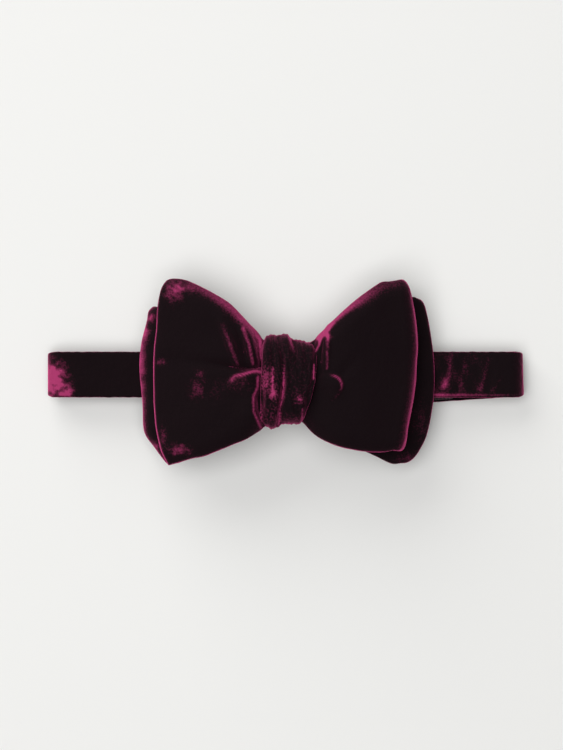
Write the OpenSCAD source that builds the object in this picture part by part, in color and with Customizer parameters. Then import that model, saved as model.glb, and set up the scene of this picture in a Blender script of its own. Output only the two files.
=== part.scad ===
// A ready-tied butterfly bow tie on an adjustable neckband, lying on its back.
// +X runs along the neckband, +Y to the top of the bow and +Z out of the front of the bow.
// The neckband is a closed loop pressed flat: a front run behind the bow, a fold at each
// end and a back run that carries the hook, the eye and the adjuster.

/* [Neckband] */
// Length of the flattened loop, from fold to fold
loop_l = 212; // [196:1:256]
// Height of the flattened loop, over both runs
loop_h = 14; // [13:0.5:17]
// Width of the strap
band_w = 20; // [14:0.5:28]
// Thickness of the velvet with its pile
velvet_t = 1.1; // [0.8:0.1:1.4]
// Thickness of the interlining
interlining_t = 0.5; // [0.3:0.1:0.8]
// Thickness of the satin lining
lining_t = 0.4; // [0.2:0.1:0.6]
// Angle by which the right back run lies askew, in degrees
skew = 4; // [0:0.5:5]
// Length of the flat lip under each fold
lip_l = 6; // [4:0.5:10]

/* [Bow] */
// Width of the bow, over the rear blade
bow_w = 130.4; // [108:0.4:160]
// Height of the bow
bow_h = 82; // [68:1:100]
// Thickness of one velvet panel of a blade
panel_t = 0.9; // [0.6:0.1:1.2]
// Thickness of the interlining of a blade
blade_interlining_t = 0.5; // [0.3:0.1:0.8]
// How many times thicker a blade is where it is gathered under the knot
gather = 1.55; // [1.2:0.05:1.9]
// Depth of the rear loop at its fold
rear_loop_d = 10; // [7:0.5:12]
// Depth of the front loop at its fold
front_loop_d = 13; // [9:0.5:16]
// How far the front leaves puff up beyond a straight line
puff = 6; // [3:0.5:9]

/* [Knot] */
// Width of the knot
knot_w = 26; // [20:0.5:32]
// Height of the knot
knot_h = 42; // [34:0.5:52]
// Thickness of the padding over the gathers
padding_t = 8; // [4:0.5:12]
// Thickness of the velvet of the wrap
wrap_t = 1.2; // [0.8:0.1:1.6]
// Thickness of the interlining of the wrap
wrap_interlining_t = 0.8; // [0.4:0.1:1.2]

/* [Closure] */
// How much narrower than the strap the ribbon is, on each side
ribbon_inset = 1; // [0.5:0.25:2]
// Thickness of the ribbon
ribbon_t = 0.7; // [0.5:0.05:0.85]
// Radius of the metal bars
bar_r = 0.7; // [0.5:0.05:0.9]
// Width of the metal rails beside the ribbon
rail_w = 1.6; // [1:0.1:2.4]
// Distance between the slider's bars
bar_pitch = 6; // [5:0.25:7.5]
// Length of the eye, from its bar to its far side
eye_l = 11; // [8:0.5:13]
// Length of the hook, from its bar to the bend of its tongue
hook_l = 11; // [8:0.5:13]
// Place of the slider's middle bar along the loop
slider_x = 34; // [31:0.5:38]
// Place of the hook's bar along the loop
hook_x = 12; // [10:0.5:13]
// Place of the eye's bar along the loop
eye_x = -26; // [-30:0.5:-25]
// Place of the middle of the seam that joins the ribbon to the right tail
seam_x = 70; // [68:0.5:82]
// Length of each stitched seam
seam_l = 8; // [5:0.5:10]

/* [Fits] */
// Room between soft layers that lie on each other
soft_gap = 0.3; // [0.2:0.05:0.5]
// Room between the ribbon and the metal
metal_gap = 0.15; // [0.1:0.05:0.2]
// Room round a bar inside a ribbon's turn
turn_gap = 0.1; // [0.05:0.05:0.15]

/* [Hidden] */

$fn = 48;
velvet_colour = "#4a1428";
lining_colour = "#2a0d18";
ribbon_colour = "#3a1020";
interlining_colour = "#e8e2d4";
thread_colour = "#5a1c34";
padding_colour = "#f4f1ea";
metal_colour = "#b9bcc0";

// Places that the bow, the knot and the strap share.
band_y = -1;                                  // middle line of the strap
knot_x = 0.6;                                 // middle of the knot
knot_y = -4;
strap_t = velvet_t + interlining_t + lining_t;
fold_r = loop_h / 2;                          // outer radius of the folds
fold_x = loop_l / 2 - fold_r;                 // where the runs end and the folds begin
// Each layer of the strap lies between two depths, measured in from the outside.
velvet_layer = [0, velvet_t];
interlining_layer = [velvet_t, velvet_t + interlining_t];
lining_layer = [velvet_t + interlining_t, strap_t];

// The four leaves of the two blades lie on each other under the knot.
blade_t = 2 * panel_t + blade_interlining_t;
leaf_t = gather * blade_t;
leaf_pitch = leaf_t + soft_gap;
rear_through_z = loop_h + soft_gap + leaf_t / 2;
rear_end_z = rear_through_z + leaf_pitch;
front_through_z = rear_end_z + leaf_pitch;
front_end_z = front_through_z + leaf_pitch;
gathers_top = front_end_z + leaf_t / 2;

// The knot is a ring that holds the strap, the gathers and the padding.
knot_t = wrap_t + wrap_interlining_t;
knot_bottom = loop_h - strap_t - soft_gap - knot_t;
knot_top = gathers_top + 2 * soft_gap + padding_t + knot_t;
knot_round = 8;                               // radius of the front edges of the knot
padding_inset = 1;                            // from the knot's edges to the padding
waist_h = knot_h - 2 * knot_t - 2 * soft_gap; // height of the gathers
waist_top = knot_y + waist_h / 2;
waist_bottom = knot_y - waist_h / 2;
waist_left = knot_x - knot_w / 2;
waist_right = knot_x + knot_w / 2;
leaf_end = 2;                                 // how far inside the knot a loop's end stops
gather_l = 14;                                // length over which the gathers thin out

// Rear and front edges of the blades along X, and the levels that they reach.
drawn_w = 130.4;                              // width of the bow that the outlines are drawn for
drawn_h = 82;                                 // height of the bow that the outlines are drawn for
kx = bow_w / drawn_w;
ky = bow_h / drawn_h;
over_strap = 0.5;                             // rise of the rear blade's end over the strap
between_blades = 4;                           // room between the rear and the front blade
flat_rise = 3;                                // rise of the front flat end over the rear loop
rear_low_z = loop_h + soft_gap + blade_t / 2 + over_strap;
rear_fold_r = (rear_loop_d - blade_t) / 2;
front_fold_r = (front_loop_d - blade_t) / 2;
rear_fold_z = rear_low_z + rear_fold_r;
front_low_z = rear_low_z + blade_t + between_blades;
front_fold_z = front_low_z + front_fold_r;
rear_fold_edge = -64.2 * kx;
front_fold_edge = 58 * kx;
rear_flat_edge = 66.2 * kx;
front_flat_edge = -58 * kx;
front_flat_z = rear_fold_z + rear_fold_r + blade_t + flat_rise;

// The ribbon and the levels of the closure.
ribbon_w = band_w - 2 * ribbon_inset;
over_table = 0.1;                             // room under the lower layer of ribbon
ribbon_low_z = over_table + ribbon_t / 2;
ribbon_up_z = ribbon_low_z + ribbon_t + metal_gap;
turn_r = bar_r + turn_gap + ribbon_t;         // outer radius of a ribbon's turn
bar_z = ribbon_up_z + ribbon_t / 2 + metal_gap + bar_r;
over_z = bar_z + turn_r + metal_gap + ribbon_t / 2;
hook_z = ribbon_low_z - ribbon_t / 2 + turn_r;
on_tail = 0.05;                               // room between the tails and what lies on them
on_tail_z = strap_t + on_tail + ribbon_t / 2;
eye_z = on_tail_z + ribbon_t - (turn_r - ribbon_t / 2);
plate_t = 1.2;                                // thickness of the metal plates
rail_y = ribbon_w / 2 + soft_gap;             // inner side of the rails
wave_l = 9;                                   // half length of the ribbon held by the slider
tab_l = 9;                                    // from the eye's bar to the end of the left tail
thread_d = 0.35;
stitch_inset = 2;                             // from the ribbon's edges to the stitches
seam_margin = 1;                              // from the ends of a seam to its stitches
tack_w = 1.6;                                 // width of a bar of tacking thread
ramp_l = 11;                                  // length over which the ribbon climbs on the tail
slider_rail_t = 2 * bar_r + 0.6;              // thickness of the slider's rails
slider_end = 1;                               // how far the slider's rails pass its outer bars
tongue_w = 9;                                 // width of the hook's tongue
tongue_t = 1;                                 // thickness of the hook's tongue
tongue_bend_r = 1.1;                          // radius of the bend of the tongue
tongue_back_l = 3.5;                          // how far the tongue comes back over itself
cross_l = 2.5;                                // length of the hook's cross plate
eye_far_l = 2;                                // length of the far side of the eye
left_tail_end = eye_x - tab_l;
right_tail_end = seam_x - seam_l / 2 - seam_margin;

// ---------- Helpers ----------

function ease(t) = t * t * (3 - 2 * t);
function clamp01(t) = min(1, max(0, t));

// A leaf from x0 to x1 that goes smoothly from level z0 to level z1 and swells by s between.
function leaf(x0, x1, z0, z1, s, n = 10) = [
    for (i = [0:n]) let (t = i / n)
        [x0 + (x1 - x0) * t, z0 + (z1 - z0) * ease(t) + s * pow(sin(180 * t), 2)]
];

// A half turn of radius r, from its top round the side dir (1 or -1) to its bottom.
function half_turn(x, z, r, dir, n = 8) = [
    for (i = [1:n - 1]) let (a = 90 - 180 * i / n) [x + dir * r * cos(a), z + r * sin(a)]
];

// Unit normal on the left of a path at its point i.
function path_normal(p, i) =
    let (a = p[max(0, i - 1)], b = p[min(len(p) - 1, i + 1)], d = b - a)
    [-d[1], d[0]] / norm(d);

// A blade is thicker near the knot, by the gathers.
function thickening(x) =
    1 + (gather - 1) * (1 - ease(clamp01((abs(x - knot_x) - knot_w / 2 - 1) / gather_l)));

// Outline of the layer of a path between the offsets lo and hi along its normal.
function layer_outline(p, lo, hi, thick = false) = concat(
    [for (i = [0:len(p) - 1])
        p[i] + path_normal(p, i) * hi * (thick ? thickening(p[i][0]) : 1)],
    [for (i = [len(p) - 1:-1:0])
        p[i] + path_normal(p, i) * lo * (thick ? thickening(p[i][0]) : 1)]
);

// Outline of a rectangle with rounded top corners, about its own middle in X.
function arch_outline(w, z0, z1, r, n = 8) = concat(
    [[-w / 2, z0], [w / 2, z0]],
    [for (i = [0:n]) let (a = 90 * i / n) [w / 2 - r + r * cos(a), z1 - r + r * sin(a)]],
    [for (i = [0:n]) let (a = 90 + 90 * i / n) [-w / 2 + r + r * cos(a), z1 - r + r * sin(a)]]
);

// Stands a flat X-Z outline up and gives it a width w along Y.
module along_y(w) {
    translate([0, w / 2, 0]) rotate([90, 0, 0]) linear_extrude(w) children();
}

// Stands a flat Y-Z outline up and gives it a width w along X, about x.
module along_x(x, w) {
    translate([x - w / 2, 0, 0]) rotate([90, 0, 90]) linear_extrude(w) children();
}

// Moves things from the straight loop to where the strap really lies.
module on_strap() {
    translate([0, band_y, 0]) children();
}

// The right back run turns a little about the end of the loop.
module on_skewed_strap() {
    translate([fold_x, band_y, 0]) rotate([0, 0, skew]) translate([-fold_x, 0, 0]) children();
}

// A bar across the ribbon at x, z.
module bar(x, z) {
    translate([x, 0, z]) rotate([90, 0, 0])
        cylinder(h = 2 * rail_y + rail_w, r = bar_r, center = true);
}

// The two rails beside the ribbon, from x0 to x1.
module rails(x0, x1, z, t) {
    for (side = [-1, 1])
        translate([x0, side * (rail_y + rail_w / 2) - rail_w / 2, z - t / 2])
            cube([x1 - x0, rail_w, t]);
}

// A ribbon that follows an X-Z path.
module ribbon(path) {
    along_y(ribbon_w) polygon(layer_outline(path, -ribbon_t / 2, ribbon_t / 2));
}

// The ribbon round a bar: a ring with the bar's hole through it.
module ring_round_bar(x, z) {
    translate([x, 0, z]) rotate([90, 0, 0]) difference() {
        cylinder(h = ribbon_w, r = turn_r, center = true);
        cylinder(h = ribbon_w + 2, r = bar_r + turn_gap, center = true);
    }
}

// A rectangle of stitches on a surface at level z.
module stitch_box(x, z) {
    w = ribbon_w - 2 * stitch_inset;
    for (end = [-1, 1]) translate([x + end * (seam_l / 2 - seam_margin), 0, z + thread_d / 2])
        cube([thread_d, w, thread_d], center = true);
    for (side = [-1, 1]) translate([x, side * w / 2, z + thread_d / 2])
        cube([seam_l - 2 * seam_margin - thread_d, thread_d, thread_d], center = true);
}

// ---------- Bow ----------

// Inside the knot every leaf is level, and it leaves the knot at the knot's edge.
front_turn_x = front_fold_edge - front_fold_r - blade_t / 2;
front_path = concat(
    [[waist_left + leaf_end, front_end_z]],
    leaf(waist_right, front_turn_x, front_end_z, front_fold_z + front_fold_r, puff, 14),
    half_turn(front_turn_x, front_fold_z, front_fold_r, 1),
    leaf(front_turn_x, waist_right, front_fold_z - front_fold_r, front_through_z, 0),
    leaf(waist_left, front_flat_edge, front_through_z, front_flat_z, puff / 2)
);

rear_turn_x = rear_fold_edge + rear_fold_r + blade_t / 2;
rear_path = concat(
    [[waist_right - leaf_end, rear_end_z]],
    leaf(waist_left, rear_turn_x, rear_end_z, rear_fold_z + rear_fold_r, 0, 14),
    half_turn(rear_turn_x, rear_fold_z, rear_fold_r, -1),
    leaf(rear_turn_x, waist_left, rear_fold_z - rear_fold_r, rear_through_z, 0),
    leaf(waist_right, rear_flat_edge, rear_through_z, rear_low_z, 0)
);

// Outline of a blade seen from the front: its left end, the gathers and its right end.
function blade_outline(left_end, right_end) = concat(
    [[waist_left, waist_top]],
    [for (p = left_end) [p[0] * kx, p[1] * ky]],
    [[waist_left, waist_bottom], [waist_right, waist_bottom]],
    [for (p = right_end) [p[0] * kx, p[1] * ky]],
    [[waist_right, waist_top]]
);

front_outline = blade_outline(
    [[-24, 30.5], [-33, 36], [-42, 40.3], [-49, 41], [-54.5, 37], [-56.5, 28], [-58, 8], [-58, -8],
        [-56.5, -27], [-55, -34], [-51, -41], [-37, -37.5], [-24, -33]],
    [[26, -33.3], [39, -35.4], [51, -35], [58.5, -31], [58.5, 34], [51, 41], [44, 40.3], [32.5, 33],
        [18.4, 20.6]]
);

rear_outline = blade_outline(
    [[-30, 22], [-54, 29.5], [-60, 29], [-65, 24], [-65, -26], [-52, -41], [-30, -32]],
    [[30, -33], [38, -35.6], [47, -39.7], [53, -41], [58, -37], [62.5, -28], [65.3, -13], [66.2, 0],
        [64.5, 15], [62, 28], [60, 32.5], [56, 32.3], [30, 22]]
);

// One layer of a blade, between two depths under its face.
module blade_layer(path, outline, depth0, depth1) {
    intersection() {
        along_y(2 * bow_h)
            polygon(layer_outline(path, blade_t / 2 - depth1, blade_t / 2 - depth0, true));
        linear_extrude(knot_top + 20) polygon(outline);
    }
}

module front_blade_face() {
    color(velvet_colour) blade_layer(front_path, front_outline, 0, panel_t);
}
module front_blade_interlining() {
    color(interlining_colour)
        blade_layer(front_path, front_outline, panel_t, panel_t + blade_interlining_t);
}
module front_blade_back() {
    color(velvet_colour)
        blade_layer(front_path, front_outline, panel_t + blade_interlining_t, blade_t);
}
module rear_blade_face() {
    color(velvet_colour) blade_layer(rear_path, rear_outline, 0, panel_t);
}
module rear_blade_interlining() {
    color(interlining_colour)
        blade_layer(rear_path, rear_outline, panel_t, panel_t + blade_interlining_t);
}
module rear_blade_back() {
    color(velvet_colour)
        blade_layer(rear_path, rear_outline, panel_t + blade_interlining_t, blade_t);
}

// ---------- Knot ----------

// The knot's section at a depth under its outside.
module knot_section(depth) {
    translate([knot_y, 0]) polygon(arch_outline(knot_h - 2 * depth, knot_bottom + depth,
        knot_top - depth, knot_round - depth));
}

module knot_wrap() {
    color(velvet_colour) along_x(knot_x, knot_w) difference() {
        knot_section(0);
        knot_section(wrap_t);
    }
}
module knot_interlining() {
    color(interlining_colour) along_x(knot_x, knot_w) difference() {
        knot_section(wrap_t);
        knot_section(knot_t);
    }
}
module knot_padding() {
    color(padding_colour) along_x(knot_x, knot_w - 2 * padding_inset) intersection() {
        knot_section(knot_t + soft_gap);
        translate([knot_y - knot_h / 2, gathers_top + soft_gap]) square([knot_h, knot_h]);
    }
}
// Two bars of thread close the wrap on the back of the knot.
module knot_tack_stitches() {
    color(thread_colour) for (side = [-1, 1])
        translate([knot_x + side * knot_w / 5, knot_y, knot_bottom - thread_d / 2])
            cube([tack_w, knot_h / 4, thread_d], center = true);
}

// ---------- Neckband ----------

// One layer of the front run, between two depths.
module front_run_layer(layer) {
    on_strap() translate([-fold_x, -band_w / 2, loop_h - layer[1]])
        cube([2 * fold_x, band_w, layer[1] - layer[0]]);
}

// One layer of a fold, with the flat lip that starts the back run. side is 1 or -1.
module fold_layer(side, layer) {
    on_strap() turned_to(side) {
        translate([fold_x, 0, fold_r]) rotate([90, 0, 0]) intersection() {
            difference() {
                cylinder(h = band_w, r = fold_r - layer[0], center = true, $fn = 96);
                cylinder(h = band_w + 2, r = fold_r - layer[1], center = true, $fn = 96);
            }
            translate([0, -loop_h, -band_w]) cube([loop_h, 2 * loop_h, 2 * band_w]);
        }
        translate([fold_x - lip_l, -band_w / 2, layer[0]])
            cube([lip_l, band_w, layer[1] - layer[0]]);
    }
}

// Turns a thing at the right end round to the left end.
module turned_to(side) {
    rotate([0, 0, side > 0 ? 0 : 180]) children();
}

module left_tail_layer(layer) {
    on_strap() translate([-fold_x + lip_l, -band_w / 2, layer[0]])
        cube([fold_x - lip_l + left_tail_end, band_w, layer[1] - layer[0]]);
}

// The skewed tail is trimmed square where it meets the lip of the fold.
module right_tail_layer(layer) {
    intersection() {
        on_skewed_strap() translate([right_tail_end, -band_w / 2, layer[0]])
            cube([loop_l, band_w, layer[1] - layer[0]]);
        translate([-loop_l, -loop_l, -1]) cube([loop_l + fold_x - lip_l, 2 * loop_l, loop_h]);
    }
}

module band_velvet() { color(velvet_colour) front_run_layer(velvet_layer); }
module band_interlining() { color(interlining_colour) front_run_layer(interlining_layer); }
module band_lining() { color(lining_colour) front_run_layer(lining_layer); }

module left_fold_velvet() { color(velvet_colour) fold_layer(-1, velvet_layer); }
module left_fold_interlining() { color(interlining_colour) fold_layer(-1, interlining_layer); }
module left_fold_lining() { color(lining_colour) fold_layer(-1, lining_layer); }

module right_fold_velvet() { color(velvet_colour) fold_layer(1, velvet_layer); }
module right_fold_interlining() { color(interlining_colour) fold_layer(1, interlining_layer); }
module right_fold_lining() { color(lining_colour) fold_layer(1, lining_layer); }

module left_tail_velvet() { color(velvet_colour) left_tail_layer(velvet_layer); }
module left_tail_interlining() { color(interlining_colour) left_tail_layer(interlining_layer); }
module left_tail_lining() { color(lining_colour) left_tail_layer(lining_layer); }

module right_tail_velvet() { color(velvet_colour) right_tail_layer(velvet_layer); }
module right_tail_interlining() {
    color(interlining_colour) right_tail_layer(interlining_layer);
}
module right_tail_lining() { color(lining_colour) right_tail_layer(lining_layer); }

// ---------- Eye on the left tail ----------

// The tab goes round the eye's bar, and both its legs lie on the tail.
module eye_tab() {
    color(ribbon_colour) on_strap() {
        ring_round_bar(eye_x, eye_z);
        difference() {
            union() {
                ribbon([[left_tail_end - seam_l, on_tail_z + ribbon_t],
                    [eye_x, on_tail_z + ribbon_t]]);
                ribbon(concat(
                    [[left_tail_end - seam_l, on_tail_z]],
                    leaf(left_tail_end, eye_x, on_tail_z, eye_z - turn_r + ribbon_t / 2, 0)
                ));
            }
            translate([eye_x, 0, eye_z]) rotate([90, 0, 0])
                cylinder(h = ribbon_w + 2, r = bar_r + turn_gap, center = true);
        }
    }
}
module eye_tab_stitches() {
    color(thread_colour) on_strap()
        stitch_box(left_tail_end - seam_l / 2, on_tail_z + 1.5 * ribbon_t);
}
module eye() {
    color(metal_colour) on_strap() {
        bar(eye_x, eye_z);
        rails(eye_x - bar_r, eye_x + eye_l, eye_z, plate_t);
        translate([eye_x + eye_l - eye_far_l, -rail_y - rail_w / 2, eye_z - plate_t / 2])
            cube([eye_far_l, 2 * rail_y + rail_w, plate_t]);
    }
}

// ---------- Adjuster on the right tail ----------

// The ribbon from the slider to its seam on the tail.
module ribbon_fixed_run() {
    color(ribbon_colour) on_skewed_strap() ribbon(concat(
        [[slider_x + wave_l, ribbon_up_z]],
        leaf(right_tail_end - 1 - ramp_l, right_tail_end - 1, ribbon_up_z, on_tail_z, 0),
        [[seam_x + seam_l / 2, on_tail_z]]
    ));
}
module ribbon_stitches() {
    color(thread_colour) on_skewed_strap() stitch_box(seam_x, on_tail_z + ribbon_t / 2);
}
module slider() {
    color(metal_colour) on_skewed_strap() {
        for (i = [-1:1]) bar(slider_x + i * bar_pitch, bar_z);
        rails(slider_x - bar_pitch - slider_end, slider_x + bar_pitch + slider_end, bar_z,
            slider_rail_t);
    }
}
// The ribbon dips under the outer bars and goes over the middle one.
module ribbon_slider_wave() {
    run = bar_pitch - bar_r - 0.4;
    color(ribbon_colour) on_skewed_strap() ribbon(concat(
        [[slider_x - wave_l, ribbon_up_z]],
        leaf(slider_x - run, slider_x, ribbon_up_z, over_z, 0, 12),
        [for (i = [1:12]) leaf(slider_x, slider_x + run, over_z, ribbon_up_z, 0, 12)[i]],
        [[slider_x + wave_l, ribbon_up_z]]
    ));
}
module ribbon_sewn_end() {
    color(ribbon_colour) on_skewed_strap() {
        ring_round_bar(slider_x, bar_z);
        difference() {
            ribbon(concat(
                [[slider_x - wave_l, ribbon_low_z]],
                leaf(slider_x - bar_pitch + 1, slider_x, ribbon_low_z,
                    bar_z - turn_r + ribbon_t / 2, 0)
            ));
            translate([slider_x, 0, bar_z]) rotate([90, 0, 0])
                cylinder(h = ribbon_w + 2, r = bar_r + turn_gap, center = true);
        }
    }
}
module ribbon_turn() {
    color(ribbon_colour) on_skewed_strap() ring_round_bar(hook_x, hook_z);
}
// The two layers between the hook and the slider butt against the turn and the slider's ribbon.
module ribbon_upper_run() {
    end_x = slider_x - wave_l;
    color(ribbon_colour) on_skewed_strap() difference() {
        ribbon(concat(leaf(hook_x, end_x - 1, hook_z + turn_r - ribbon_t / 2, ribbon_up_z, 0),
            [[end_x, ribbon_up_z]]));
        turn_room();
    }
}
module ribbon_lower_run() {
    color(ribbon_colour) on_skewed_strap() difference() {
        ribbon([[hook_x, ribbon_low_z], [slider_x - wave_l, ribbon_low_z]]);
        turn_room();
    }
}
module turn_room() {
    translate([hook_x, 0, hook_z]) rotate([90, 0, 0])
        cylinder(h = ribbon_w + 2, r = turn_r, center = true);
}
module hook() {
    x = hook_x;
    color(metal_colour) on_skewed_strap() {
        bar(x, hook_z);
        rails(x - hook_l / 2, x + bar_r, hook_z, plate_t);
        translate([x - hook_l / 2 - 1, -rail_y - rail_w, hook_z - plate_t / 2])
            cube([cross_l, 2 * (rail_y + rail_w), plate_t]);
        along_y(tongue_w) polygon(layer_outline(concat(
            [[x - hook_l / 2, hook_z], [x - hook_l, hook_z]],
            [for (i = [1:8]) let (a = -90 - 180 * i / 8)
                [x - hook_l + tongue_bend_r * cos(a),
                    hook_z + tongue_bend_r + tongue_bend_r * sin(a)]],
            [[x - hook_l + tongue_back_l, hook_z + 2 * tongue_bend_r]]
        ), -tongue_t / 2, tongue_t / 2));
    }
}

front_blade_face();
front_blade_interlining();
front_blade_back();
rear_blade_face();
rear_blade_interlining();
rear_blade_back();
knot_wrap();
knot_interlining();
knot_padding();
knot_tack_stitches();
band_velvet();
band_interlining();
band_lining();
left_fold_velvet();
left_fold_interlining();
left_fold_lining();
right_fold_velvet();
right_fold_interlining();
right_fold_lining();
left_tail_velvet();
left_tail_interlining();
left_tail_lining();
eye_tab();
eye_tab_stitches();
eye();
right_tail_velvet();
right_tail_interlining();
right_tail_lining();
ribbon_fixed_run();
ribbon_stitches();
slider();
ribbon_slider_wave();
ribbon_sewn_end();
ribbon_turn();
ribbon_upper_run();
ribbon_lower_run();
hook();
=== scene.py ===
"""Looks of a ready-tied velvet butterfly bow tie on its adjustable neckband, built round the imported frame."""
import math

import bmesh
import bpy
import numpy as np
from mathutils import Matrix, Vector


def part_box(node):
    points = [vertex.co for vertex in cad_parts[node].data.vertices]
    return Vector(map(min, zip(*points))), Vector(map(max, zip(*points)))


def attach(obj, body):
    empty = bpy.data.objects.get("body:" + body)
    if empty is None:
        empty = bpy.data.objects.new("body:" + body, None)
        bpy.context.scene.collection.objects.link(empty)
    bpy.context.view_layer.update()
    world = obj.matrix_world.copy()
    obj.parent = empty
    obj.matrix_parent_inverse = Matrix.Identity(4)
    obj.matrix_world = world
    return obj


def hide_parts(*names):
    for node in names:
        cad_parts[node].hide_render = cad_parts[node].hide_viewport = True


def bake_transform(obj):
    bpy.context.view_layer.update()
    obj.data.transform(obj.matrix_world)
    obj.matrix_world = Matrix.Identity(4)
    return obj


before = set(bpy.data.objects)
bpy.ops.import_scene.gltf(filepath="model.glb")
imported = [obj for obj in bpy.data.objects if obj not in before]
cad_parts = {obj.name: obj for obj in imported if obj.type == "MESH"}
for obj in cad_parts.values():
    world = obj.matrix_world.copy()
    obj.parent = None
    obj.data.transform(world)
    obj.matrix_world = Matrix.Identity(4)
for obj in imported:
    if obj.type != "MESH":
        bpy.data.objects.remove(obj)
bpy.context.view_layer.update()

bl_info = {
    "name": "Velvet Bow Tie",
    "version": (1, 0, 0),
    "blender": (4, 5, 0),
    "location": "3D View > Sidebar > Bow Tie",
    "description": "Builds a ready-tied velvet bow tie piece by piece",
    "category": "Add Mesh",
}

MM = 0.001


# ---------- Sizes and colours that a user would change ----------

class BowTieSizes(bpy.types.PropertyGroup):
    """Sizes of the blades."""
    blade_thickness: bpy.props.FloatProperty(
        name="Blade thickness", description="Thickness of a lined velvet blade away from its seams",
        default=3 * MM, min=1.5 * MM, max=6 * MM, unit="LENGTH")
    seam_roll: bpy.props.FloatProperty(
        name="Seam roll", description="Width over which a blade rounds down to its seam",
        default=2.4 * MM, min=1 * MM, max=5 * MM, unit="LENGTH")


class BowTieColours(bpy.types.PropertyGroup):
    """Colours of the velvet."""
    velvet: bpy.props.FloatVectorProperty(
        name="Velvet", description="Colour down into the pile", subtype="COLOR", size=4,
        default=(0.0050, 0.0022, 0.0032, 1), min=0, max=1)
    # Also the colour of the painted highlights and sheen on the velvet's edges, folds and pleats.
    brushed: bpy.props.FloatVectorProperty(
        name="Brushed pile", description="Colour of the pile where it is brushed over",
        subtype="COLOR", size=4, default=(0.36, 0.036, 0.13, 1), min=0, max=1)
    sheen: bpy.props.FloatVectorProperty(
        name="Sheen", description="Colour of the velvet's sheen", subtype="COLOR", size=4,
        default=(1.0, 0.12, 0.38, 1), min=0, max=1)


class BowTieStage(bpy.types.PropertyGroup):
    """The floor, the lights and the camera."""
    camera_height: bpy.props.FloatProperty(
        name="Camera height", description="Height of the camera above the floor",
        default=1.2, min=0.5, max=3, unit="LENGTH")
    lens: bpy.props.FloatProperty(
        name="Lens", description="Focal length of the camera, for a frame 36 mm high",
        default=128.4, min=20, max=300, unit="CAMERA")


# ---------- Shape helpers (lengths in millimetres until a mesh is made) ----------

def spline(points, n):
    """n points evenly spaced along a smooth curve through the given points."""
    per_run = 24
    p = np.asarray(points, float)
    p = np.vstack([2 * p[0] - p[1], p, 2 * p[-1] - p[-2]])
    t = np.linspace(0, 1, per_run, endpoint=False)[:, None]
    runs = []
    for a, b, c, d in zip(p, p[1:], p[2:], p[3:]):
        runs.append(0.5 * (2 * b + (c - a) * t + (2 * a - 5 * b + 4 * c - d) * t ** 2
                           + (3 * b - a - 3 * c + d) * t ** 3))
    dense = np.vstack(runs + [p[-2:-1]])
    s = np.r_[0, np.cumsum(np.linalg.norm(np.diff(dense, axis=0), axis=1))]
    at = np.linspace(0, s[-1], n)
    return np.stack([np.interp(at, s, dense[:, k]) for k in range(dense.shape[1])], 1)


def ease(t):
    """A soft step from 0 at t = 0 to 1 at t = 1."""
    t = np.clip(t, 0, 1)
    return t * t * (3 - 2 * t)


def steps(n):
    """n places along a leaf from 0 at the knot to 1 at its end, closer together near the knot."""
    return np.linspace(0, 1, n) ** 1.3


def points_at(curve, shares):
    """Points at the given shares of the length of a smooth curve."""
    dense = spline(curve, 400)
    at = np.linspace(0, 1, len(dense))
    return np.stack([np.interp(shares, at, dense[:, k]) for k in (0, 1)], 1)


def patch(start, end, bottom, top, n, rows):
    """A grid n x len(rows) filled in between four edge curves that meet at the corners."""
    u, v = steps(n)[:, None, None], rows[None, :, None]
    b, t = points_at(bottom, steps(n))[:, None], points_at(top, steps(n))[:, None]
    s, e = points_at(start, rows)[None], points_at(end, rows)[None]
    corners = ((1 - u) * (1 - v) * b[:1] + u * (1 - v) * b[-1:] + (1 - u) * v * t[:1] + u * v * t[-1:])
    return (1 - v) * b + v * t + (1 - u) * s + u * e - corners


def polyline_distance(x, y, points):
    """Distance to a polyline, how far along it the nearest point is (0 to 1), and the signed side."""
    p = np.asarray(points, float)
    lengths = np.linalg.norm(np.diff(p, axis=0), axis=1)
    total, done = lengths.sum(), 0.0
    best = np.full(x.shape, 1e9)
    along, side = np.zeros(x.shape), np.zeros(x.shape)
    for a, b, length in zip(p, p[1:], lengths):
        dx, dy = (b - a) / length
        t = np.clip((x - a[0]) * dx + (y - a[1]) * dy, 0, length)
        px, py = x - a[0] - t * dx, y - a[1] - t * dy
        d = np.hypot(px, py)
        hit = d < best
        best = np.where(hit, d, best)
        along = np.where(hit, (done + t) / total, along)
        side = np.where(hit, np.sign(dx * py - dy * px), side)
        done += length
    return best, along, side


def ridge(x, y, points, heights, widths):
    """A smooth ridge (or a crease, if its heights are negative) along a line."""
    d, t, _ = polyline_distance(x, y, points)
    h, w = (np.interp(t, np.linspace(0, 1, len(stops)), stops) for stops in (heights, widths))
    return h * np.exp(-(d / w) ** 2)


def overlap(x, y, points, heights, edge, reach):
    """A fold that stands proud on the left of a line: a short steep edge, then a long soft fall."""
    d, t, side = polyline_distance(x, y, points)
    h = np.interp(t, np.linspace(0, 1, len(heights)), heights)
    s = d * side
    return h * ease(s / edge + 0.5) * np.exp(-(np.maximum(s, 0) / reach) ** 2)


def bulge(x, y, centre, radii, height):
    """A soft round swelling."""
    return height * np.exp(-((x - centre[0]) / radii[0]) ** 2 - ((y - centre[1]) / radii[1]) ** 2)


def ripples(x, y, size, seed):
    """Soft irregular waves between -1 and 1, with bumps about size across."""
    golden_angle = 2.399
    total = np.zeros(np.shape(x))
    for k in range(7):
        a = seed * 1.7 + k * golden_angle
        f = 2 * math.pi / (size * (0.8 + 0.27 * k))
        total += np.sin(f * (x * math.cos(a) + y * math.sin(a)) + 3.1 * k * seed + seed) / (1 + 0.35 * k)
    return total / 3.2


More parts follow.
